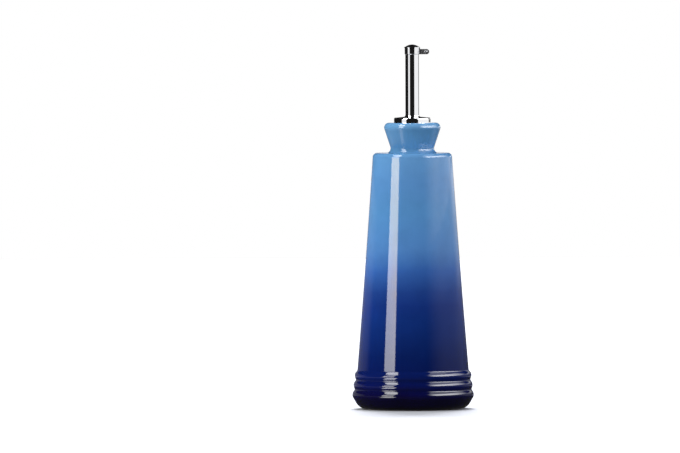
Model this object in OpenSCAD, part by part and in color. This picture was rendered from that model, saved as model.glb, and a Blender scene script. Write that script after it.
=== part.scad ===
// Oil and vinegar cruet: a glazed stoneware bottle with a lift-out steel pourer and a flip-up lid.
// The origin is the centre of the foot, on the table. The hinge is on the +X side.

/* [Bottle] */
// Height of the bottle, from the table to the top of the lip
bottle_h = 189; // [165:1:240]
// Diameter of the body just above the rings
body_d = 73.4; // [60:0.2:90]
// Diameter of the body under the shoulder's rounded edge
shoulder_d = 52.4; // [42:0.2:64]
// How far the side bows in from a straight line at mid-height
side_bow = 0.26; // [0:0.02:2]
// Radius of the shoulder's rounded edge
shoulder_edge_r = 2.8; // [1:0.1:5]
// Thickness of the fired clay wall
wall = 4; // [3:0.1:5]
// Thickness of the bottle's floor, above the recess in the foot
floor_t = 5; // [3:0.1:8]
// Radius inside the bottle where the wall meets the floor
inner_corner_r = 6; // [3:0.1:9]

/* [Rings and foot] */
// Number of raised rings
ring_count = 3; // [1:1:5]
// Height of the lowest ring's crest above the table
ring_z = 9.4; // [7.5:0.1:14]
// Spacing from one ring's crest to the next
ring_pitch = 6.3; // [5:0.1:8]
// Radius of a ring's rounded crest, in section
ring_crest_r = 4; // [3.2:0.1:5]
// Radius of the grooves beside the rings, in section
groove_r = 1.6; // [0.8:0.1:2.4]
// How far the top ring stands out from the body
ring_proud = 1.85; // [1.2:0.05:2.4]
// How much each ring stands out past the ring above it
ring_step = 0.78; // [0.3:0.02:1.2]
// Lean of the side below the rings, in degrees from upright
base_lean = 30; // [24:1:42]
// Radius of the rounding between that side and the foot
foot_edge_r = 8; // [3:0.1:9]
// Width of the flat foot ring
foot_ring_w = 4.2; // [2:0.1:8]
// Depth of the recess inside the foot ring
foot_recess = 1.5; // [0.5:0.1:3]

/* [Neck] */
// Height of the neck above the shoulder
neck_h = 19.9; // [14:0.1:28]
// Diameter of the neck at its waist
neck_d = 28.8; // [26:0.1:36]
// Diameter of the lip
lip_d = 37.2; // [30:0.1:44]
// Radius of the lip's rounded edge
lip_edge_r = 3.2; // [1.5:0.1:4]
// Radius where the neck meets the shoulder
neck_fillet_r = 3; // [1:0.1:4]
// Diameter of the neck's bore
bore_d = 21; // [17:0.1:22]
// Radius of the bore's edge at the lip
bore_edge_r = 0.6; // [0.2:0.1:1.2]

/* [Stopper] */
// How far the steel cap reaches over the lip, outside the bore
cap_overlap = 1.55; // [1:0.05:3]
// Height of the steel cap's side
cap_h = 3.4; // [2.4:0.1:6]
// Thickness of the cap's pressed steel
cap_t = 1; // [0.5:0.1:1.4]
// Radius of the cap's top edge
cap_edge_r = 1; // [0.4:0.1:1.8]
// Rise of the cap's top from its edge to the tube
cap_rise = 0.5; // [0.2:0.1:2]
// Radius where the cap's top turns up to the tube
cap_fillet_r = 0.8; // [0.3:0.1:1.5]
// Thickness of the cap's rim round the tube
cap_lip_t = 0.2; // [0.1:0.05:0.5]
// Length of the stopper below the lip
stopper_l = 22.5; // [14:0.5:30]
// Thickness of the silicone between the tube and the foot of the fins
sleeve_t = 4; // [3:0.1:5]
// Number of sealing fins
fin_count = 4; // [2:1:6]
// Thickness of a fin at its edge
fin_t = 1.1; // [0.6:0.1:2]
// Gap between a fin and the neck's bore
fin_gap = 0.15; // [0.1:0.01:0.4]

/* [Spout] */
// Height of the spout's mouth above the lip
spout_h = 49.4; // [35:0.1:70]
// Outside diameter of the tube
tube_d = 9; // [7.5:0.1:11]
// Wall thickness of the tube
tube_t = 0.5; // [0.3:0.05:0.8]
// How far the tube's lower end is flared out to hold the sleeve
flare_out = 0.9; // [0.4:0.1:1.6]
// Height of that flare
flare_h = 1.4; // [0.8:0.1:3]
// Outside diameter of the air tube
vent_d = 2.5; // [1.8:0.1:3]
// Wall thickness of the air tube
vent_t = 0.35; // [0.2:0.05:0.5]
// How far the air tube hangs below the stopper
vent_tail = 16; // [8:0.5:30]
// How far the air tube ends below the collar
vent_setback = 1.5; // [0.5:0.1:6]

/* [Hinge and lid] */
// Thickness of the collar's wall at its lower end
collar_t = 0.35; // [0.25:0.05:0.8]
// Height of the collar
collar_h = 4.3; // [3.6:0.1:6]
// Chamfer on the collar's lower edge
collar_chamfer = 0.2; // [0.1:0.02:0.24]
// How far the tube enters the collar
socket_h = 1.6; // [1:0.1:2.4]
// Height of the hinge ears
ear_h = 3.4; // [2.8:0.1:4.2]
// Thickness of one ear
ear_t = 0.8; // [0.5:0.1:1.4]
// Distance from the spout's axis to the pin
hinge_x = 9.1; // [8.2:0.1:12]
// How far the ears reach past the pin
ear_end = 2.2; // [1.8:0.1:3]
// Diameter of the pin
pin_d = 1.2; // [0.8:0.1:1.6]
// Diameter of the pin's riveted heads
rivet_d = 2.2; // [1.8:0.1:2.6]
// Height of a riveted head
rivet_h = 0.45; // [0.2:0.05:0.8]
// Thickness of the lid's web between the ears
web_t = 1.2; // [0.8:0.1:1.8]
// How far the lid's rim hangs out past the collar
lid_overhang = 0.35; // [0.1:0.05:0.8]
// Height of the lid's domed top above its rim
dome_h = 1.7; // [1.2:0.05:2.4]
// Radius of the dome's crown, as a share of the plain ball that would span the lid
crown_share = 0.83; // [0.7:0.01:0.92]
// Slope at which the dome flares out to the rim, in degrees
flare_slope = 5; // [2:0.5:8]
// Height of the lid's upright rim
rim_h = 0.45; // [0.2:0.05:1]

/* [Fits] */
// Gap between brazed or pressed pieces
seat_gap = 0.05; // [0.02:0.01:0.08]
// Running clearance round the pin
pin_gap = 0.05; // [0.03:0.01:0.1]
// Clearance on each side of the web, and over its path
web_gap = 0.2; // [0.1:0.05:0.4]

/* [Hidden] */
$fn = 96;
arc_steps = 10;
side_steps = 14;
cut = 1;

shoulder_z = bottle_h - neck_h;
neck_r = neck_d / 2;
lip_r = lip_d / 2;
bore_r = bore_d / 2;
body_r = body_d / 2;
shoulder_r = shoulder_d / 2;

tube_r = tube_d / 2;
tube_bore_r = tube_r - tube_t;
mouth_z = bottle_h + spout_h;
stopper_z = bottle_h - stopper_l;
tail_z = stopper_z - flare_h;
socket_r = tube_r + seat_gap;

cap_r = bore_r + cap_overlap;
cap_inner_r = cap_r - cap_t;
head_r = cap_inner_r - seat_gap;
sleeve_r = socket_r + sleeve_t;
fin_r = bore_r - fin_gap;

collar_z = mouth_z - collar_h;
collar_r = socket_r + collar_t;
pin_z = collar_z + ear_h / 2;
pin_r = pin_d / 2;
ear_gap = web_t + 2 * web_gap;
lid_r = collar_r + lid_overhang;
boss_r = ear_h / 2 - web_gap;

vent_r = vent_d / 2;
vent_x = tube_bore_r - seat_gap - vent_r;

// Points of an arc in section, where [r, z] are the radius and the height
function arc(c, r, from, to) =
    [for (i = [0:arc_steps]) let (a = from + (to - from) * i / arc_steps) c + r * [cos(a), sin(a)]];

// Direction from one point to another, in degrees
function heading(a, b) = atan2(b[1] - a[1], b[0] - a[0]);

// Centre of each ring's rounded crest, counted from the lowest ring
function ring_centre(i) = [
    body_r + ring_proud + ring_step * (ring_count - 1 - i) - ring_crest_r,
    ring_z + ring_pitch * i
];

// Centre of the groove that touches the ring i and the ring above it
function groove_centre(i) =
    let (a = ring_centre(i), b = ring_centre(i + 1))
    let (reach = ring_crest_r + groove_r, half = norm(b - a) / 2)
    let (out = [b[1] - a[1], a[0] - b[0]] / norm(b - a))
    (a + b) / 2 + out * sqrt(reach * reach - half * half);

// Centre of the groove above the top ring, which touches the body's side
top_ring = ring_centre(ring_count - 1);
top_groove = [
    body_r + groove_r,
    top_ring[1] + sqrt(
        pow(ring_crest_r + groove_r, 2) - pow(body_r + groove_r - top_ring[0], 2)
    )
];

// Centre of the groove just above the ring i
function groove_at(i) = i < ring_count - 1 ? groove_centre(i) : top_groove;

// The side's lower and upper ends, and its lean at each
side_z0 = top_groove[1];
side_z1 = shoulder_z - shoulder_edge_r;
side_len = side_z1 - side_z0;
side_lean = (body_r - shoulder_r) / side_len;
lean_low = atan(side_lean + 4 * side_bow / side_len);
lean_top = atan(side_lean - 4 * side_bow / side_len);

// The side's radius at the share t of its height, moved in by an amount
function side_at(t, inset) = [
    body_r + (shoulder_r - body_r) * t - 4 * side_bow * t * (1 - t) - inset,
    side_z0 + side_len * t
];
function side(inset) = [for (i = [0:side_steps]) side_at(i / side_steps, inset)];

// The foot's rounding, where the leaning side below the rings comes down to it
low_ring = ring_centre(0);
low_start = low_ring + ring_crest_r * [cos(base_lean), -sin(base_lean)];
foot_top_z = foot_edge_r * (1 - sin(base_lean));
foot_c = [
    low_start[0] - (low_start[1] - foot_top_z) * tan(base_lean) - foot_edge_r * cos(base_lean),
    foot_edge_r
];

// The shoulder's edge, the neck's foot and the lip, and the neck's lean between the last two
shoulder_c = [shoulder_r - shoulder_edge_r, shoulder_z - shoulder_edge_r];
neck_c = [neck_r + neck_fillet_r, shoulder_z + neck_fillet_r];
lip_c = [lip_r - lip_edge_r, bottle_h - lip_edge_r];
neck_span = lip_c - neck_c;
neck_lean = atan2(neck_span[0], neck_span[1]) + asin((lip_edge_r + neck_fillet_r) / norm(neck_span));

// One ring and the groove above it
function ring_section(i) =
    let (below = i == 0 ? -base_lean : heading(ring_centre(i), groove_at(i - 1)))
    let (above = heading(ring_centre(i), groove_at(i)))
    let (leave = i < ring_count - 1 ? heading(groove_at(i), ring_centre(i + 1)) : lean_low - 180)
    concat(
        arc(ring_centre(i), ring_crest_r, below, above),
        arc(groove_at(i), groove_r, above - 180, leave > 0 ? leave - 360 : leave)
    );

// The outside, from the foot's recess up to the lip
outer_section = concat(
    [
        [0, foot_recess],
        [foot_c[0] - foot_ring_w - foot_recess, foot_recess],
        [foot_c[0] - foot_ring_w, 0]
    ],
    arc(foot_c, foot_edge_r, -90, -base_lean),
    [for (i = [0:ring_count - 1]) each ring_section(i)],
    side(0),
    arc(shoulder_c, shoulder_edge_r, lean_top, 90),
    arc(neck_c, neck_fillet_r, -90, -180 - neck_lean),
    arc(lip_c, lip_edge_r, -neck_lean, 90)
);

// The inside, from the lip down to the floor
floor_z = foot_recess + floor_t;
ceiling_z = shoulder_z - wall;
inner_top_r = shoulder_c[0] - wall / 2;
inner_section = concat(
    arc([bore_r + bore_edge_r, bottle_h - bore_edge_r], bore_edge_r, 90, 180),
    [[bore_r, ceiling_z]],
    arc([inner_top_r - wall / 2, ceiling_z - wall / 2], wall / 2, 90, lean_top),
    [for (i = [side_steps - 1:-1:0]) side_at(i / side_steps, wall)],
    arc([body_r - wall - inner_corner_r, floor_z + inner_corner_r], inner_corner_r, 0, -90),
    [[0, floor_z]]
);

// The bottle: one hollow turned form
module bottle() {
    color([0.13, 0.36, 0.66])
    rotate_extrude()
    polygon(concat(outer_section, inner_section));
}

// The steel cap on the lip, open underneath for the sleeve's head
module stopper_cap() {
    hub_r = socket_r + cap_lip_t;
    hub_c = [hub_r + cap_fillet_r, bottle_h + cap_h + cap_rise + cap_fillet_r];
    edge_c = [cap_r - cap_edge_r, bottle_h + cap_h - cap_edge_r];
    color([0.78, 0.79, 0.80])
    rotate_extrude()
    polygon(concat(
        [[cap_inner_r, bottle_h], [cap_r, bottle_h]],
        arc(edge_c, cap_edge_r, 0, 90),
        arc(hub_c, cap_fillet_r, -90, -180),
        [[socket_r, hub_c[1]], [socket_r, bottle_h + cap_h - cap_t], [cap_inner_r, bottle_h + cap_h - cap_t]]
    ));
}

// One fin's section, with its edge at the bore and its root on the sleeve
function fin_section(z) = [
    [sleeve_r, z - fin_t],
    [fin_r, z - fin_t / 2],
    [fin_r, z + fin_t / 2],
    [sleeve_r, z + fin_t]
];

// The silicone sleeve: a head inside the cap and fins that grip the bore
module stopper_sleeve() {
    head_z = bottle_h + cap_h - cap_t;
    fin_pitch = stopper_l / (fin_count + 1);
    color([0.16, 0.16, 0.17])
    rotate_extrude()
    polygon(concat(
        [[socket_r, stopper_z], [sleeve_r - fin_t, stopper_z]],
        [[sleeve_r, stopper_z + fin_t]],
        [for (i = [1:fin_count]) each fin_section(stopper_z + fin_pitch * i)],
        [[sleeve_r, bottle_h + seat_gap], [head_r, bottle_h + seat_gap], [head_r, head_z], [socket_r, head_z]]
    ));
}

// The slot through which the lid's web swings, from a height up past the mouth
module web_slot(z) {
    translate([tube_bore_r - tube_t, -ear_gap / 2, z])
    cube([hinge_x + ear_end, ear_gap, mouth_z + cut - z]);
}

// The pouring tube, flared under the sleeve and notched for the lid's web
module spout_tube() {
    top_z = collar_z + socket_h;
    flare_r = tube_r + flare_out;
    color([0.80, 0.81, 0.82])
    difference() {
        rotate_extrude()
        polygon([
            [tube_bore_r, tail_z + flare_h / 2],
            [tube_bore_r + flare_out, tail_z],
            [flare_r, tail_z],
            [flare_r, stopper_z],
            [tube_r, stopper_z],
            [tube_r, top_z],
            [tube_bore_r, top_z]
        ]);
        web_slot(collar_z);
    }
}

// The air tube, inside the spout on the hinge side
module vent_tube() {
    low_z = stopper_z - vent_tail;
    vent_h = collar_z - vent_setback - low_z;
    color([0.70, 0.71, 0.72])
    translate([vent_x, 0, low_z])
    difference() {
        cylinder(r = vent_r, h = vent_h);
        translate([0, 0, -cut]) cylinder(r = vent_r - vent_t, h = vent_h + 2 * cut);
    }
}

// One ear with its round end and pin hole, from y upward
module ear(y) {
    end_r = ear_h / 2;
    end_x = hinge_x + ear_end - end_r;
    translate([0, y + ear_t, pin_z])
    rotate([90, 0, 0])
    difference() {
        union() {
            translate([collar_r - collar_t, -end_r, 0]) cube([end_x - collar_r + collar_t, ear_h, ear_t]);
            translate([end_x, 0, 0]) cylinder(r = end_r, h = ear_t);
        }
        translate([hinge_x, 0, -cut]) cylinder(r = pin_r + seat_gap / 2, h = ear_t + 2 * cut);
    }
}

// The collar that forms the mouth, split between its two ears
module hinge_collar() {
    socket_z = collar_z + socket_h + seat_gap;
    color([0.52, 0.53, 0.55])
    union() {
        difference() {
            rotate_extrude()
            polygon([
                [socket_r, collar_z],
                [collar_r - collar_chamfer, collar_z],
                [collar_r, collar_z + collar_chamfer],
                [collar_r, mouth_z],
                [tube_bore_r, mouth_z],
                [tube_bore_r, socket_z],
                [socket_r, socket_z]
            ]);
            web_slot(collar_z - cut);
        }
        ear(ear_gap / 2);
        ear(-ear_gap / 2 - ear_t);
    }
}

// The pin: a shank between two riveted heads
module hinge_pin() {
    half_l = ear_gap / 2 + ear_t;
    rivet_r = rivet_d / 2;
    dome_r = (rivet_r * rivet_r + rivet_h * rivet_h) / (2 * rivet_h);
    spread = asin(rivet_r / dome_r);
    color([0.60, 0.61, 0.63])
    translate([hinge_x, 0, pin_z])
    rotate([90, 0, 0])
    rotate_extrude()
    polygon(concat(
        arc([0, dome_r - half_l - rivet_h], dome_r, -90, spread - 90),
        [[pin_r, -half_l], [pin_r, half_l]],
        arc([0, half_l + rivet_h - dome_r], dome_r, 90 - spread, 90)
    ));
}

// The lid's top: a round crown whose flank flares out to the rim, like a hat
ball_r = (lid_r * lid_r + dome_h * dome_h) / (2 * dome_h);
crown_r = crown_share * ball_r;
crown_c = [0, mouth_z + rim_h + dome_h - crown_r];
flare_r = dome_h * (ball_r - crown_r)
    / (crown_r * (1 - cos(flare_slope)) + dome_h * cos(flare_slope) - lid_r * sin(flare_slope));
flare_c = [lid_r, mouth_z + rim_h] + flare_r * [sin(flare_slope), cos(flare_slope)];
flare_turn = heading(crown_c, flare_c);

// The lid over the mouth, with a web that reaches in to the pin
module lid() {
    web_low = pin_z - boss_r;
    web_top = pin_z + boss_r;
    web_in = tube_bore_r - 2 * tube_t;
    color([0.74, 0.75, 0.77])
    union() {
        rotate_extrude()
        polygon(concat(
            [[0, mouth_z], [lid_r, mouth_z]],
            arc(flare_c, flare_r, -90 - flare_slope, flare_turn - 180),
            arc(crown_c, crown_r, flare_turn, 90)
        ));
        difference() {
            translate([0, web_t / 2, 0])
            rotate([90, 0, 0])
            union() {
                linear_extrude(web_t)
                polygon([
                    [web_in, mouth_z + rim_h],
                    [web_in, web_low + web_gap],
                    [hinge_x, web_low],
                    [hinge_x, web_top],
                    [collar_r + web_t / 2, web_top],
                    [collar_r, mouth_z + rim_h]
                ]);
                translate([hinge_x, pin_z, 0]) cylinder(r = boss_r, h = web_t);
            }
            translate([hinge_x, web_t, pin_z])
            rotate([90, 0, 0])
            cylinder(r = pin_r + pin_gap, h = 2 * web_t);
        }
    }
}

bottle();
stopper_cap();
stopper_sleeve();
spout_tube();
vent_tube();
hinge_collar();
hinge_pin();
lid();
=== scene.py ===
import math

import bmesh
import bpy
from mathutils import Matrix, Vector


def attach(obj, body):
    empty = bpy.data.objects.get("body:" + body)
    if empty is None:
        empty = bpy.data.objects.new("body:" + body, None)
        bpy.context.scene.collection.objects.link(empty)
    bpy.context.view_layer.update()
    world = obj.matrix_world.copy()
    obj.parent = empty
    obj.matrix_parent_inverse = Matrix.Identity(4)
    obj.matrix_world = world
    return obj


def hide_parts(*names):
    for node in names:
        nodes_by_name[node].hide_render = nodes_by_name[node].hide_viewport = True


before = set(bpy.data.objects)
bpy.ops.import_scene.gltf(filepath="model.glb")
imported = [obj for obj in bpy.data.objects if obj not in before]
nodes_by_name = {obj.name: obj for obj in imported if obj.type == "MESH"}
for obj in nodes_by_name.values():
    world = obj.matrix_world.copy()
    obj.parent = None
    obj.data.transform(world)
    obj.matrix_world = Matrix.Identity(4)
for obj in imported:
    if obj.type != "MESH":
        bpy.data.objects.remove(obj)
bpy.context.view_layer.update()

# Sizes in millimetres, as the construction has them. Only RING_PROUD is 0.03 less, which keeps the rings
# inside the CAD box.
MM = 0.001

BOTTLE_H = 189.0
BODY_R = 36.7
SHOULDER_R = 26.2
SIDE_BOW = 0.26
SHOULDER_EDGE_R = 2.8
WALL = 4.0
FLOOR_T = 5.0
INNER_CORNER_R = 6.0

RING_COUNT = 3
RING_Z = 9.4
RING_PITCH = 6.3
RING_CREST_R = 4.0
GROOVE_R = 1.6
RING_PROUD = 1.82
RING_STEP = 0.78
BASE_LEAN = 30.0
FOOT_EDGE_R = 8.0
FOOT_RING_W = 4.2
FOOT_RECESS = 1.5

NECK_H = 19.9
NECK_R = 14.4
LIP_R = 18.6
LIP_EDGE_R = 3.2
NECK_FILLET_R = 3.0
BORE_R = 10.5
BORE_EDGE_R = 0.6

# How finely an arc and the bottle's side are cut, and the length in millimetres that counts as none
ARC_STEPS = 20
SIDE_STEPS = 16
TINY = 1e-6


# Geometry helpers, in section: a point is (radius, height)
def heading(a, b):
    """The direction from a to b in degrees."""
    return math.degrees(math.atan2(b[1] - a[1], b[0] - a[0]))


def arc(c, r, start, end, steps=ARC_STEPS):
    """Points of an arc round c, from one direction in degrees to another."""
    points = []
    for i in range(steps + 1):
        a = math.radians(start + (end - start) * i / steps)
        points.append((c[0] + r * math.cos(a), c[1] + r * math.sin(a)))
    return points


def supported(section):
    """Adds a point close to each end of every long span, so that its shading stays true to the ends."""
    margin = 0.25
    points = [section[0]]
    for a, b in zip(section, section[1:]):
        length = math.dist(a, b)
        if length < TINY:
            continue
        if length > 4 * margin:
            for share in (margin / length, 1 - margin / length):
                points.append((a[0] + (b[0] - a[0]) * share, a[1] + (b[1] - a[1]) * share))
        points.append(b)
    return points


def bottle_section():
    """The bottle's section, from the middle of the foot round the outside and back down the inside."""
    shoulder_z = BOTTLE_H - NECK_H

    def ring_centre(i):
        """The centre of the arc that rounds ring i, counted from the foot."""
        crest = BODY_R + RING_PROUD + RING_STEP * (RING_COUNT - 1 - i)
        return (crest - RING_CREST_R, RING_Z + RING_PITCH * i)

    def groove_centre(i):
        """The centre of the groove above ring i, which touches that ring and the next ring or the side."""
        reach = RING_CREST_R + GROOVE_R
        a = ring_centre(i)
        if i == RING_COUNT - 1:
            r = BODY_R + GROOVE_R
            return (r, a[1] + math.sqrt(reach**2 - (r - a[0]) ** 2))
        b = ring_centre(i + 1)
        d = math.dist(a, b)
        out = math.sqrt(reach**2 - (d / 2) ** 2)
        return ((a[0] + b[0]) / 2 + out * (b[1] - a[1]) / d, (a[1] + b[1]) / 2 + out * (a[0] - b[0]) / d)

    side_z0 = groove_centre(RING_COUNT - 1)[1]
    side_len = shoulder_z - SHOULDER_EDGE_R - side_z0
    lean = (BODY_R - SHOULDER_R) / side_len
    lean_low = math.degrees(math.atan(lean + 4 * SIDE_BOW / side_len))
    lean_top = math.degrees(math.atan(lean - 4 * SIDE_BOW / side_len))

    def side_at(t, inset):
        """A point of the slightly hollow side, at a share t of its height."""
        r = BODY_R + (SHOULDER_R - BODY_R) * t - 4 * SIDE_BOW * t * (1 - t)
        return (r - inset, side_z0 + side_len * t)

    # The foot and the leaning side above it
    lean_rad = math.radians(BASE_LEAN)
    low = ring_centre(0)
    low_start = (low[0] + RING_CREST_R * math.cos(lean_rad), low[1] - RING_CREST_R * math.sin(lean_rad))
    foot_top = FOOT_EDGE_R * (1 - math.sin(lean_rad))
    foot_r = low_start[0] - (low_start[1] - foot_top) * math.tan(lean_rad) - FOOT_EDGE_R * math.cos(lean_rad)
    inner_foot_r = foot_r - FOOT_RING_W
    points = [(0, FOOT_RECESS), (inner_foot_r - FOOT_RECESS, FOOT_RECESS), (inner_foot_r, 0)]
    points += arc((foot_r, FOOT_EDGE_R), FOOT_EDGE_R, -90, -BASE_LEAN)

    # The rings, each with the groove above it
    for i in range(RING_COUNT):
        c = ring_centre(i)
        g = groove_centre(i)
        below = -BASE_LEAN if i == 0 else heading(c, groove_centre(i - 1))
        above = heading(c, g)
        leave = heading(g, ring_centre(i + 1)) if i < RING_COUNT - 1 else lean_low - 180
        points += arc(c, RING_CREST_R, below, above)
        points += arc(g, GROOVE_R, above - 180, leave - 360 if leave > 0 else leave)

    # The side, the shoulder's edge, the neck and the lip
    points += [side_at(i / SIDE_STEPS, 0) for i in range(SIDE_STEPS + 1)]
    shoulder_c = (SHOULDER_R - SHOULDER_EDGE_R, shoulder_z - SHOULDER_EDGE_R)
    neck_c = (NECK_R + NECK_FILLET_R, shoulder_z + NECK_FILLET_R)
    lip_c = (LIP_R - LIP_EDGE_R, BOTTLE_H - LIP_EDGE_R)
    span = math.dist(lip_c, neck_c)
    apart = math.atan2(lip_c[0] - neck_c[0], lip_c[1] - neck_c[1])
    neck_lean = math.degrees(apart + math.asin((LIP_EDGE_R + NECK_FILLET_R) / span))
    points += arc(shoulder_c, SHOULDER_EDGE_R, lean_top, 90)
    points += arc(neck_c, NECK_FILLET_R, -90, -180 - neck_lean)
    points += arc(lip_c, LIP_EDGE_R, -neck_lean, 90)

    # The inside, from the bore's edge down to the floor
    ceiling_z = shoulder_z - WALL
    floor_z = FOOT_RECESS + FLOOR_T
    half_wall = WALL / 2
    points += arc((BORE_R + BORE_EDGE_R, BOTTLE_H - BORE_EDGE_R), BORE_EDGE_R, 90, 180, steps=8)
    points += [(BORE_R, ceiling_z)]
    points += arc((shoulder_c[0] - WALL, ceiling_z - half_wall), half_wall, 90, lean_top, steps=8)
    points += [side_at(i / SIDE_STEPS, WALL) for i in range(SIDE_STEPS - 2, -1, -1)]
    corner_c = (BODY_R - WALL - INNER_CORNER_R, floor_z + INNER_CORNER_R)
    points += arc(corner_c, INNER_CORNER_R, 0, -90, steps=10)
    points += [(0, floor_z)]
    return supported(points)


def turned(name, section, steps):
    """A mesh turned round the Z axis from a section in millimetres that starts and ends on the axis."""
    sharp_angle = math.radians(28)
    bm = bmesh.new()
    rings = []
    for r, z in section:
        if r < TINY:
            rings.append([bm.verts.new((0, 0, z * MM))])
            continue
        ring = []
        for i in range(steps):
            a = 2 * math.pi * i / steps
            ring.append(bm.verts.new((r * math.cos(a) * MM, r * math.sin(a) * MM, z * MM)))
        rings.append(ring)
    for low, high in zip(rings, rings[1:]):
        for i in range(steps):
            j = (i + 1) % steps
            if len(low) == 1:
                bm.faces.new((low[0], high[j], high[i]))
            elif len(high) == 1:
                bm.faces.new((low[i], low[j], high[0]))
            else:
                bm.faces.new((low[i], low[j], high[j], high[i]))
    bmesh.ops.recalc_face_normals(bm, faces=bm.faces)
    mesh = bpy.data.meshes.new(name)
    bm.to_mesh(mesh)
    bm.free()
    mesh.shade_smooth()
    mesh.set_sharp_from_angle(angle=sharp_angle)
    piece = bpy.data.objects.new(name, mesh)
    bpy.context.scene.collection.objects.link(piece)
    return piece


# Materials
class Graph:
    """A node tree, with short calls for the nodes used here."""

    def __init__(self, tree):
        self.tree = tree
        tree.nodes.clear()

    def node(self, kind, **settings):
        made = self.tree.nodes.new(kind)
        for key, value in settings.items():
            setattr(made, key, value)
        return made

    def feed(self, socket, value):
        """Sets a socket to a constant, or links another socket to it."""
        if isinstance(value, bpy.types.NodeSocket):
            self.tree.links.new(value, socket)
        else:
            socket.default_value = value

    def feed_named(self, made, puts):
        """Feeds several sockets of a node, each by its name."""
        for key, put in puts.items():
            self.feed(made.inputs[key], put)

    def surface(self, shader):
        """Makes a shader the output of its material."""
        self.feed(self.node("ShaderNodeOutputMaterial").inputs[0], shader)

    def split(self, vector):
        """The x, y and z of a vector."""
        made = self.node("ShaderNodeSeparateXYZ")
        self.feed(made.inputs[0], vector)
        return tuple(made.outputs[axis] for axis in "XYZ")

    def math(self, operation, a, b=0.0, c=0.0):
        made = self.node("ShaderNodeMath", operation=operation)
        for socket, value in zip(made.inputs, (a, b, c)):
            self.feed(socket, value)
        return made.outputs[0]

    def steps(self, value, low, high, out_low=0.0, out_high=1.0):
        """A smooth step from out_low to out_high as the value goes from low to high."""
        made = self.node("ShaderNodeMapRange", interpolation_type="SMOOTHSTEP")
        reach = {"Value": value, "From Min": low, "From Max": high}
        self.feed_named(made, {**reach, "To Min": out_low, "To Max": out_high})
        return made.outputs["Result"]

    def noise(self, vector, scale, detail=3.0, roughness=0.5):
        made = self.node("ShaderNodeTexNoise")
        self.feed_named(made, {"Vector": vector, "Scale": scale, "Detail": detail, "Roughness": roughness})
        return made.outputs[0]

    def ramp(self, value, stops):
        """A colour ramp through (position, sRGB colour) stops."""
        made = self.node("ShaderNodeValToRGB")
        ramp = made.color_ramp
        while len(ramp.elements) < len(stops):
            ramp.elements.new(1.0)
        for element, (position, colour) in zip(ramp.elements, stops):
            element.position = position
            element.color = (*srgb(*colour), 1.0)
        self.feed(made.inputs[0], value)
        return made.outputs[0]

    def mix(self, factor, a, b):
        """Turns from colour a to colour b as the factor goes from 0 to 1."""
        made = self.node("ShaderNodeMix", data_type="RGBA")
        for socket, put in ((made.inputs[0], factor), (made.inputs[6], a), (made.inputs[7], b)):
            self.feed(socket, put)
        return made.outputs[2]

    def bump(self, height, distance, strength=1.0):
        made = self.node("ShaderNodeBump")
        self.feed_named(made, {"Height": height, "Distance": distance, "Strength": strength})
        return made.outputs[0]


def srgb(*colour):
    """Linear values of an sRGB colour given from 0 to 255."""
    linear_below = 10.3
    return tuple(c / 255 / 12.92 if c < linear_below else ((c / 255 + 0.055) / 1.055) ** 2.4 for c in colour)


def new_material(name):
    """A new material and the graph of its nodes, still empty."""
    material = bpy.data.materials.new(name)
    material.use_nodes = True
    return material, Graph(material.node_tree)


def principled(name, **values):
    """A new material with one Principled shader, whose sockets are set by name."""
    material, graph = new_material(name)
    shader = graph.node("ShaderNodeBsdfPrincipled")
    graph.surface(shader.outputs[0])
    graph.feed_named(shader, values)
    return material, graph, shader


def object_point(graph):
    """The point being shaded, in the piece's own coordinates."""
    return graph.node("ShaderNodeTexCoord").outputs["Object"]


# The glaze's colours by height above the table, in millimetres, from the foot to the lip; the neck's stops
# at 172 and 184 are darker with painted shade under the lip
GLAZE_AND_NECK_SHADE_STOPS = (
    (0, (10, 6, 30)),
    (9, (13, 9, 56)),
    (14, (11, 16, 79)),
    (20, (9, 25, 94)),
    (34, (9, 33, 102)),
    (58, (18, 51, 130)),
    (68, (23, 54, 135)),
    (78, (34, 69, 149)),
    (92, (56, 103, 184)),
    (106, (84, 138, 206)),
    (130, (90, 150, 212)),
    (150, (94, 150, 213)),
    (168, (102, 158, 216)),
    # Painted shade: these two neck stops are darker than the glaze, as the neck lies under the lip's
    # overhang
    (172, (93, 150, 202)),
    (184, (89, 146, 198)),
    (187, (112, 168, 222)),
)
GLAZE_TOP = 189.0

# The top of the brazed seam at the collar's lower edge
SEAM_TOP = 234.3 * MM

# The shade of bright steel in sRGB, and the range that most of a noise's values lie in
BRIGHT_STEEL = (226, 227, 229)
NOISE_SPAN = (0.3, 0.7)


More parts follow.
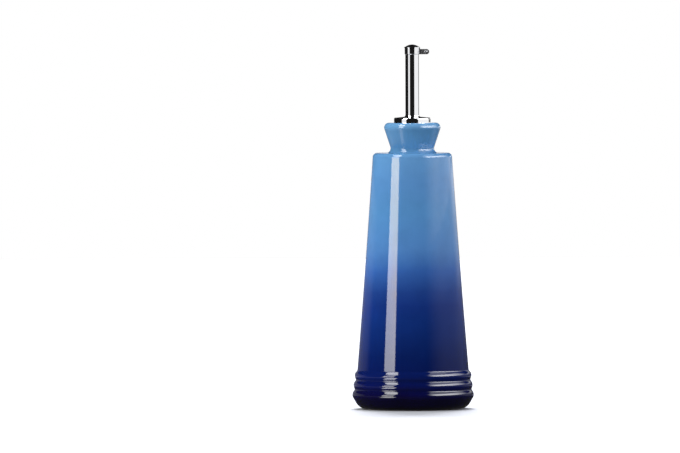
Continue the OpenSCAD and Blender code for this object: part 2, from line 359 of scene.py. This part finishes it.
def glaze_material():
    """Glossy glaze that runs from sky blue at the neck to navy at the foot, with painted shade on the neck
    under the lip.
    """
    # The colours drift up and down, and the thin glaze on the rings' crests is paler by a share
    drift_range = 10 * MM
    crest_share = 0.12
    rings_end = (22 * MM, 26 * MM)
    cloud_shades = (0.95, 1.04)
    ripple_height = 0.02 * MM

    material, graph, shader = principled("glaze", Roughness=0.045, IOR=1.5)
    point = object_point(graph)
    _, _, height = graph.split(point)
    drift = graph.math("SUBTRACT", graph.noise(point, scale=22.0, detail=4.0), 0.5)
    level = graph.math("MULTIPLY_ADD", drift, drift_range, height)
    share = graph.math("DIVIDE", level, GLAZE_TOP * MM)
    blue = graph.ramp(share, [(z / GLAZE_TOP, colour) for z, colour in GLAZE_AND_NECK_SHADE_STOPS])

    cloud = graph.steps(graph.noise(point, scale=60.0, detail=5.0), *NOISE_SPAN, *cloud_shades)
    above_crest = graph.math("SUBTRACT", height, RING_Z * MM)
    turns = graph.math("MULTIPLY", above_crest, 2 * math.pi / (RING_PITCH * MM))
    in_rings = graph.steps(height, *rings_end, crest_share, 0.0)
    thin = graph.math("MULTIPLY_ADD", graph.math("COSINE", turns), in_rings, 1.0)
    clouded = graph.node("ShaderNodeVectorMath", operation="SCALE")
    graph.feed(clouded.inputs[0], blue)
    graph.feed(clouded.inputs["Scale"], graph.math("MULTIPLY", cloud, thin))
    graph.feed(shader.inputs["Base Color"], clouded.outputs[0])
    ripple = graph.noise(point, scale=90.0, detail=2.0)
    graph.feed(shader.inputs["Normal"], graph.bump(ripple, ripple_height))
    return material


def clay_material():
    """Bare stoneware on the ground foot ring."""
    material, graph, shader = principled("bare_clay", Roughness=0.8)
    grain = graph.noise(object_point(graph), scale=900.0, detail=6.0, roughness=0.7)
    tone = graph.ramp(grain, ((0.35, (176, 158, 132)), (0.65, (214, 200, 178))))
    graph.feed(shader.inputs["Base Color"], tone)
    graph.feed(shader.inputs["Normal"], graph.bump(grain, 0.1 * MM, strength=0.6))
    return material


def steel_material(name, roughness, shade):
    """Stainless steel of an sRGB shade, with faint wear in its polish."""
    material, graph, shader = principled(name, Metallic=1.0)
    graph.feed(shader.inputs["Base Color"], (*srgb(*shade), 1.0))
    wear = graph.noise(object_point(graph), scale=500.0, detail=4.0, roughness=0.6)
    worn = graph.steps(wear, *NOISE_SPAN, roughness * 0.9, roughness * 1.1)
    graph.feed(shader.inputs["Roughness"], worn)
    return material


def hinge_material():
    """The collar's steel: polished round the spout, and satin on the ears that stand out beside it.

    The brazed seam along its lower edge has the ears' darker tone.
    """
    ears_start = (5.2 * MM, 5.6 * MM)
    seam_end = SEAM_TOP + 0.1 * MM
    polish = 0.04
    satin = (0.26, 0.34)
    dull_steel = (178, 179, 182)
    brushed_across = (1.0, 1.0, 8.0)

    material, graph, shader = principled("hinge_steel", Metallic=1.0)
    point = object_point(graph)
    x, _, z = graph.split(point)
    on_ear = graph.steps(x, *ears_start)
    grain = graph.node("ShaderNodeMapping")
    graph.feed_named(grain, {"Vector": point, "Scale": brushed_across})
    brush = graph.steps(graph.noise(grain.outputs[0], scale=900.0, detail=3.0), *NOISE_SPAN, *satin)
    rough = graph.node("ShaderNodeMix", data_type="FLOAT")
    for socket, put in ((rough.inputs[0], on_ear), (rough.inputs[2], polish), (rough.inputs[3], brush)):
        graph.feed(socket, put)
    graph.feed(shader.inputs["Roughness"], rough.outputs[0])
    darker = graph.math("MAXIMUM", on_ear, graph.steps(z, SEAM_TOP, seam_end, 1.0, 0.0))
    tone = graph.mix(darker, (*srgb(*BRIGHT_STEEL), 1.0), (*srgb(*dull_steel), 1.0))
    graph.feed(shader.inputs["Base Color"], tone)
    return material


def silicone_material():
    """Dark matt silicone."""
    material, graph, shader = principled("silicone", Roughness=0.55)
    point = object_point(graph)
    bloom = graph.noise(point, scale=260.0, detail=4.0)
    tone = graph.ramp(bloom, ((0.3, (36, 36, 39)), (0.7, (50, 50, 54))))
    graph.feed(shader.inputs["Base Color"], tone)
    grain = graph.noise(point, scale=2400.0, detail=2.0)
    graph.feed(shader.inputs["Normal"], graph.bump(grain, 0.03 * MM, strength=0.5))
    return material


GLAZE = glaze_material()
CLAY = clay_material()
POLISHED = steel_material("polished_steel", roughness=0.03, shade=BRIGHT_STEEL)
HINGE = hinge_material()
SATIN = steel_material("satin_steel", roughness=0.42, shade=(120, 121, 124))
SILICONE = silicone_material()


def dress(node, material):
    """Gives a carried-over node its material."""
    for slot in nodes_by_name[node].material_slots:
        slot.material = material


# Pieces
def make_bottle():
    """The glazed bottle, with bare clay on the ground face of its foot ring."""
    clay_top = 0.4 * MM
    bottle = turned("bottle_glazed", bottle_section(), steps=256)
    bottle.data.materials.append(GLAZE)
    bottle.data.materials.append(CLAY)
    for face in bottle.data.polygons:
        if face.center.z < clay_top:
            face.material_index = 1
    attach(bottle, "bottle")
    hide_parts("bottle")


make_bottle()
dress("stopper_cap", POLISHED)
dress("spout_tube", POLISHED)
dress("vent_tube", POLISHED)
dress("hinge_collar", HINGE)
dress("hinge_pin", SATIN)
dress("lid", POLISHED)
dress("stopper_sleeve", SILICONE)


# Studio. How bright gloss sees the dark cloth and the dark table, where 1 is white
DARK = 0.012
TABLE_IN_GLOSS = 0.04

# The floor's colour to the camera, and the shares of light it throws back onto the object on either side
FLOOR_COLOUR = (0.468, 0.48, 0.532, 1.0)
BOUNCE_LEFT = 0.32
BOUNCE_RIGHT = 0.24

# How far in metres the left-hand strip and the other large lights stand from the object
STRIP_AWAY = 2.45
BANK_AWAY = 2.5


def stage_mesh(name, points, faces, material):
    """A mesh that belongs to the studio and not to the part."""
    mesh = bpy.data.meshes.new(name)
    mesh.from_pydata(points, [], faces)
    mesh.materials.append(material)
    piece = bpy.data.objects.new(name, mesh)
    bpy.context.scene.collection.objects.link(piece)
    return piece


def emitter(name, build, tint=None):
    """An emission material, whose strength is what build(graph, x, y, z) returns for a point of the piece.

    A tint(graph, z) gives its colour. Without one it is white and isn't sampled as a light.
    """
    material, graph = new_material(name)
    material.cycles.emission_sampling = "AUTO" if tint else "NONE"
    x, y, z = graph.split(object_point(graph))
    glow = graph.node("ShaderNodeEmission")
    graph.feed(glow.inputs["Strength"], build(graph, x, y, z))
    if tint:
        graph.feed(glow.inputs["Color"], tint(graph, z))
    graph.surface(glow.outputs[0])
    return material


def azimuth_of(graph, x, y, middle):
    """The angle in radians from a middle, which is itself counted from the camera's side to its right."""
    sine, cosine = math.sin(middle), math.cos(middle)
    across = graph.math("ADD", graph.math("MULTIPLY", x, cosine), graph.math("MULTIPLY", y, sine))
    along = graph.math("SUBTRACT", graph.math("MULTIPLY", x, sine), graph.math("MULTIPLY", y, cosine))
    return graph.math("ARCTAN2", across, along)


def distance_of(graph, x, y):
    """The distance from the object's axis."""
    return graph.math("SQRT", graph.math("ADD", graph.math("MULTIPLY", x, x), graph.math("MULTIPLY", y, y)))


def graded(graph, value, stops):
    """A number that follows (value, level) stops, with straight runs between them."""
    low, high = stops[0][0], stops[-1][0]
    peak = max(level for _, level in stops)
    node = graph.node("ShaderNodeValToRGB")
    ramp = node.color_ramp
    while len(ramp.elements) < len(stops):
        ramp.elements.new(1.0)
    for element, (at, level) in zip(ramp.elements, stops):
        element.position = (at - low) / (high - low)
        element.color = (level / peak, level / peak, level / peak, 1.0)
    share = graph.math("DIVIDE", graph.math("SUBTRACT", value, low), high - low)
    graph.feed(node.inputs[0], share)
    return graph.math("MULTIPLY", node.outputs[0], peak)


def only_in_gloss(piece):
    """Hides a stage mesh from the camera and from what is matt, and lets it throw no shadow."""
    piece.visible_camera = False
    piece.visible_diffuse = False
    piece.visible_shadow = False


def square(half, height):
    """The corners of a level square round the object's axis, half of it wide to either side."""
    return [(x * half, y * half, height) for x, y in ((-1, -1), (1, -1), (1, 1), (-1, 1))]


def make_floor():
    """A pale floor that keeps the shadow. Close by on the right it throws no light back onto the object."""
    half = 2.9
    material, graph = new_material("floor")
    x, y, _ = graph.split(object_point(graph))
    near_foot = graph.steps(distance_of(graph, x, y), 0.18, 0.36, 1.0, 0.0)
    near_right = graph.math("MULTIPLY", graph.steps(x, -0.01, 0.05), near_foot)
    side = graph.steps(x, -0.1, 0.05, BOUNCE_LEFT, BOUNCE_RIGHT)
    bounce = graph.math("MULTIPLY", side, graph.math("SUBTRACT", 1.0, near_right))
    path = graph.node("ShaderNodeLightPath")
    diffuse = graph.node("ShaderNodeBsdfDiffuse")
    graph.feed(diffuse.inputs["Color"], graph.mix(path.outputs["Is Diffuse Ray"], FLOOR_COLOUR, bounce))
    graph.surface(diffuse.outputs[0])
    return stage_mesh("floor", square(half, 0.0), [(0, 1, 2, 3)], material)


def make_back_lamp(floor):
    """A broad lamp behind the object that lights only the floor, so that the shadow falls to the front."""
    elevation = math.radians(53)
    lamp = bpy.data.lights.new("back_lamp", "SUN")
    lamp.energy = 5.7
    lamp.angle = math.radians(26)
    piece = bpy.data.objects.new("back_lamp", lamp)
    towards = Vector((0, math.cos(elevation), math.sin(elevation)))
    piece.matrix_world = towards.to_track_quat("Z", "Y").to_matrix().to_4x4()
    bpy.context.scene.collection.objects.link(piece)
    lit = bpy.data.collections.new("lit_by_back_lamp")
    lit.objects.link(floor)
    piece.light_linking.receiver_collection = lit


def wall(distance, azimuths, heights, columns=36):
    """Points and faces of an upright curved wall round the object."""
    points = []
    for i in range(columns + 1):
        a = math.radians(azimuths[0] + (azimuths[1] - azimuths[0]) * i / columns)
        points += [(distance * math.sin(a), -distance * math.cos(a), h) for h in heights]
    return points, [(2 * i, 2 * i + 1, 2 * i + 3, 2 * i + 2) for i in range(columns)]


def plain(graph, z):
    """The tint of a white light."""
    return (1.0, 1.0, 1.0, 1.0)


def make_panel(name, distance, azimuths, stops, soft, tint=plain, beyond=None):
    """A curved light seen only in gloss, between two azimuths in degrees.

    Azimuth 0 is the camera's side and 90 its right.
    Its stops are (height in metres, strength), and soft has the widths in degrees of its two soft edges.
    Where beyond is (from, to, stops), it turns to those other stops from one azimuth to the other.
    """
    middle = math.radians(sum(azimuths) / 2)
    lo, hi = (math.radians(a) - middle for a in azimuths)
    soft_lo, soft_hi = (math.radians(a) for a in soft)

    def build(graph, x, y, z):
        turn = azimuth_of(graph, x, y, middle)
        rise = graph.steps(turn, lo, lo + soft_lo)
        fall = graph.steps(turn, hi - soft_hi, hi, 1.0, 0.0)
        level = graded(graph, z, stops)
        if beyond:
            start, end = (math.radians(a) - middle for a in beyond[:2])
            other = graph.math("SUBTRACT", graded(graph, z, beyond[2]), level)
            level = graph.math("MULTIPLY_ADD", other, graph.steps(turn, start, end), level)
        return graph.math("MULTIPLY", graph.math("MULTIPLY", rise, fall), level)

    points, faces = wall(distance, azimuths, (stops[0][0], stops[-1][0]))
    only_in_gloss(stage_mesh(name, points, faces, emitter(name, build, tint)))


def table_in_gloss(graph, x, y, z):
    """The table as gloss sees it: dark, with pale sides and the left-hand strip's streaks on it."""
    out = distance_of(graph, x, y)

    def sector(middle, inner, outer, level):
        """A level round one azimuth, which fades out from the inner to the outer half-width in degrees."""
        aside = graph.math("ABSOLUTE", azimuth_of(graph, x, y, math.radians(middle)))
        return graph.steps(aside, math.radians(inner), math.radians(outer), level, 0.0)

    pale = graph.math("ADD", sector(-105, 58, 82, 0.45), sector(140, 25, 55, 0.35))
    lights = graph.math("ADD", pale, sector(-53, 5, 10, 1.4))
    far_side = graph.math("MULTIPLY_ADD", lights, graph.steps(out, 0.16, 0.23), TABLE_IN_GLOSS)
    at_foot = graph.math("MULTIPLY", graph.steps(out, 0.058, 0.072), graph.steps(out, 0.15, 0.2, 1.0, 0.0))
    mirrored = graph.math("MULTIPLY", sector(-38, 9, 11, 9.0), at_foot)
    return graph.math("ADD", mirrored, far_side)


def make_flags():
    """Dark cloth round, over and under the object, which only gloss sees.

    It keeps the glaze deep and the chrome black. The one on the table leaves a hole for the foot.
    """
    far, top, near = 2.8, 3.2, 0.034
    above_table = 0.5 * MM
    steps = 96

    points, faces = wall(far, (-180, 180), (0.0, top), steps)
    only_in_gloss(stage_mesh("flag_round", points, faces, emitter("flag_round", lambda *_: DARK)))
    over = emitter("flag_over", lambda *_: DARK)
    only_in_gloss(stage_mesh("flag_over", square(far, top), [(0, 1, 2, 3)], over))
    ring = []
    for r in (near, far):
        for i in range(steps):
            a = 2 * math.pi * i / steps
            ring.append((r * math.sin(a), -r * math.cos(a), above_table))
    faces = [(i, (i + 1) % steps, steps + (i + 1) % steps, steps + i) for i in range(steps)]
    only_in_gloss(stage_mesh("flag_under", ring, faces, emitter("flag_under", table_in_gloss)))


def make_roof_light(name, corners, level):
    """A flat light overhead, seen only in gloss, that carries on a panel below it."""
    height = 3.1
    points = [(x, y, height) for x, y in corners]
    face = [tuple(range(len(points)))]
    only_in_gloss(stage_mesh(name, points, face, emitter(name, lambda *_: level, plain)))


def warm_band(graph, z):
    """The strip's colour: white, but warm at the heights that the pale upper body mirrors."""
    warm = graph.math("MULTIPLY", graph.steps(z, 0.32, 0.358), graph.steps(z, 0.402, 0.43, 1.0, 0.0))
    return graph.mix(warm, (1, 1, 1, 1), (1, 0.84, 0.51, 1))


def make_world():
    """White to the camera, to gloss and through glass, and a soft light on what is matt.

    The soft light grows towards the left, the back and the top, and once more on the far right.
    """
    level, from_left, from_behind, from_above, far_right = 1.06, 0.60, 0.50, 0.2, 0.8
    world = bpy.data.worlds.new("studio")
    bpy.context.scene.world = world
    world.use_nodes = True
    world.cycles.sampling_method = "NONE"
    graph = Graph(world.node_tree)
    x, y, z = graph.split(graph.node("ShaderNodeTexCoord").outputs["Generated"])
    soft = graph.math("MULTIPLY_ADD", x, -from_left, level)
    soft = graph.math("MULTIPLY_ADD", z, from_above, soft)
    soft = graph.math("MULTIPLY_ADD", y, from_behind, soft)
    soft = graph.math("ADD", soft, graph.steps(x, 0.45, 1.0, 0.0, far_right))
    path = graph.node("ShaderNodeLightPath")
    lit, white = (graph.node("ShaderNodeBackground") for _ in range(2))
    warmer = graph.mix(graph.steps(x, -0.8, 0.3), (1.0, 1.0, 0.92, 1.0), (1.0, 1.0, 1.0, 1.0))
    graph.feed_named(lit, {"Color": warmer, "Strength": soft})
    graph.feed_named(white, {"Color": (1.0, 1.0, 1.0, 1.0), "Strength": 1.0})
    clear = graph.math("MAXIMUM", path.outputs["Is Glossy Ray"], path.outputs["Is Transmission Ray"])
    seen = graph.node("ShaderNodeMixShader")
    graph.feed(seen.inputs[0], graph.math("MAXIMUM", path.outputs["Is Camera Ray"], clear))
    graph.feed(seen.inputs[1], lit.outputs[0])
    graph.feed(seen.inputs[2], white.outputs[0])
    graph.feed(graph.node("ShaderNodeOutputWorld").inputs[0], seen.outputs[0])


def make_camera():
    """A long lens at the photograph's angle, with the object where the photograph has it."""
    photo_width = 680
    photo_height = 453
    mm_per_pixel = 0.66
    axis_x = 412.6
    foot_y = 409.15
    distance = 12.0
    sensor = 36.0
    elevation = math.radians(1.85)
    roll = math.radians(-0.19)
    aside = (photo_width / 2 - axis_x) * mm_per_pixel * MM
    up = (foot_y - photo_height / 2) * mm_per_pixel * MM
    target = Vector((aside, 0, up))
    camera = bpy.data.objects.new("camera", bpy.data.cameras.new("camera"))
    camera.data.sensor_width = sensor
    camera.data.lens = sensor * distance / (photo_width * mm_per_pixel * MM)
    back = Vector((0, -math.cos(elevation), math.sin(elevation)))
    turn = back.to_track_quat("Z", "Y").to_matrix().to_4x4()
    camera.matrix_world = Matrix.Translation(target + back * distance) @ turn @ Matrix.Rotation(roll, 4, "Z")
    camera.data.clip_end = 50.0
    bpy.context.scene.collection.objects.link(camera)
    bpy.context.scene.camera = camera


def make_left_lights():
    """The tall strip that draws the long stripe, and below it the white that the upright steel mirrors."""
    azimuths, soft = (-62.7, -37.5), (0.5, 2.0)
    # A ramp has 256 steps, so the finely graded part is a panel of its own
    fine_stops = (
        (0.21, 6.0), (0.28, 6.9), (0.297, 7.2), (0.306, 7.8), (0.33, 8.5), (0.342, 9.35),
        (0.377, 9.65), (0.387, 10.0), (0.398, 11.3), (0.42, 9.5), (0.45, 9.0),
    )
    high_stops = ((0.45, 9.0), (0.7, 7.0), (0.95, 3.5), (1.9, 3.5), (2.2, 10.0), (3.1, 10.0))
    over = ((-1.54, -1.97), (-0.84, 0.11), (-1.47, 0.6), (-2.5, -0.6), (-2.24, -1.12))
    make_panel("strip_left", STRIP_AWAY, azimuths, fine_stops, soft, warm_band)
    make_panel("strip_high", STRIP_AWAY, azimuths, high_stops, soft)
    make_roof_light("strip_over", over, 10.0)
    # Only the shoulder's and the lip's edges see this one, and the rings see past it
    make_panel("strip_near", 0.3, (-60.2, -36.6), ((0.257, 8.0), (0.375, 8.0)), soft)
    make_panel("low_left", BANK_AWAY, (-69.5, -38.5), ((0.0, 1.1), (0.205, 1.1)), (0.5, 0.5))


def make_right_lights():
    """A faint veil for the body, white for the upright steel and a bright bank for the rounded edges."""
    veil_stops = (
        (0.0, 0.2), (0.055, 0.22), (0.07, 0.26), (0.1, 0.3), (0.115, 0.33), (0.131, 0.5), (0.147, 0.58),
        (0.163, 0.7),
    )
    veil_back = (
        (0.0, 0.08), (0.034, 0.1), (0.049, 0.14), (0.081, 0.22), (0.0975, 0.45), (0.1135, 0.58),
        (0.13, 0.7), (0.151, 1.1), (0.163, 1.2),
    )
    mid_stops = (
        (0.192, 0.7), (0.235, 0.9), (0.265, 1.25), (0.29, 1.3), (0.33, 1.2), (0.36, 1.8), (0.44, 2.4),
    )
    mid_back = ((0.192, 1.1), (0.235, 1.5), (0.265, 1.8), (0.325, 2.2), (0.44, 3.2))
    bank_stops = ((0.44, 2.0), (0.6, 11.5), (1.8, 11.5), (2.35, 2.5), (3.1, 2.0))
    over = ((1.6, -1.92), (0.98, 0.2), (1.3, 1.0), (2.2, 1.1), (2.5, 0.3), (2.4, -0.7))
    # The veil stands close by for the lower body, and mid_right carries it on for the upper body
    make_panel("veil_right", 0.55, (24, 179), veil_stops, (50.0, 30.0), beyond=(118, 140, veil_back))
    make_panel("low_right", BANK_AWAY, (37, 128), ((0.0, 1.15), (0.192, 1.15)), (1.0, 1.0))
    make_panel("low_right_back", BANK_AWAY, (128, 172), ((0.0, 0.25), (0.192, 0.25)), (0.5, 15.0))
    make_panel("mid_right", BANK_AWAY, (26, 178), mid_stops, (54.0, 30.0), beyond=(116, 140, mid_back))
    make_panel("bank_right", BANK_AWAY, (28, 140), bank_stops, (23.0, 76.0))
    make_roof_light("bank_over", over, 2.0)


def make_back_lights():
    """Faint lights behind the object, for the edges of the body and the shoulder's flat top."""
    make_panel("back_low", 0.62, (150, 210), ((0.0, 0.15), (0.183, 0.15)), (10.0, 10.0))
    make_panel("back_glow", 0.62, (164, 196), ((0.183, 0.8), (0.25, 0.8)), (6.0, 6.0))
    make_panel("back_left", 0.6, (-180, -98), ((0.0, 0.2), (0.16, 0.24), (0.165, 0.0)), (0.1, 20.0))


make_camera()
make_world()
make_back_lamp(make_floor())
make_flags()
make_left_lights()
make_right_lights()
make_back_lights()

bpy.context.scene.view_settings.view_transform = "Standard"
